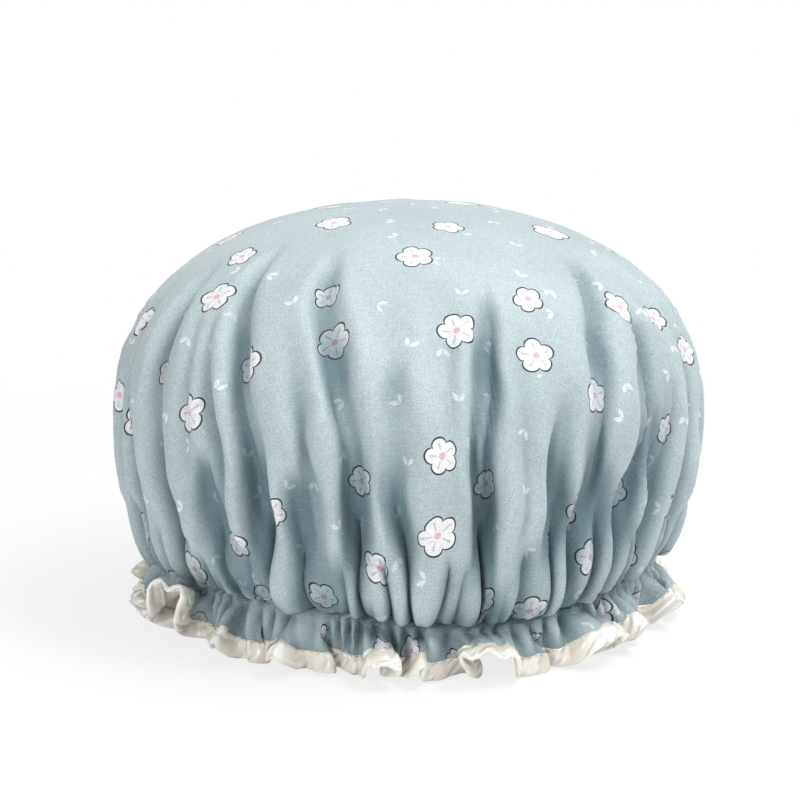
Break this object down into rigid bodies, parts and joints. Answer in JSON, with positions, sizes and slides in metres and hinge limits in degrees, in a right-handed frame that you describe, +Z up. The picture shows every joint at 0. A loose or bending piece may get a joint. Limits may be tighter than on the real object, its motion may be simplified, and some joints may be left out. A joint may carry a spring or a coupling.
{
  "type": "shower cap",
  "caption": "Gathered bath cap: printed cloth dome with a satin lining, an elastic casing and a frilled hem edged in satin.",
  "frame": {"origin": "centre of the cap's box on the surface that the hem rests on", "axes": "+Z up through the crown, -Y the side that the picture shows, +X to its right"},
  "size_m": [0.2306, 0.2328, 0.1653],
  "materials": {
    "printed_cloth": "satin",
    "lining_satin": "satin",
    "satin": "satin",
    "elastic": "matte",
    "cover_thread": "satin",
    "trim_thread": "satin"
  },
  "bodies": {
    "root": {"outer_cover": "printed_cloth", "inner_lining": "lining_satin", "satin_trim": "satin", "elastic_band": "elastic", "elastic_bartack": "trim_thread", "casing_stitch_upper": "cover_thread", "casing_stitch_lower": "cover_thread", "trim_stitch": "cover_thread"}
  },
  "joints": []
}
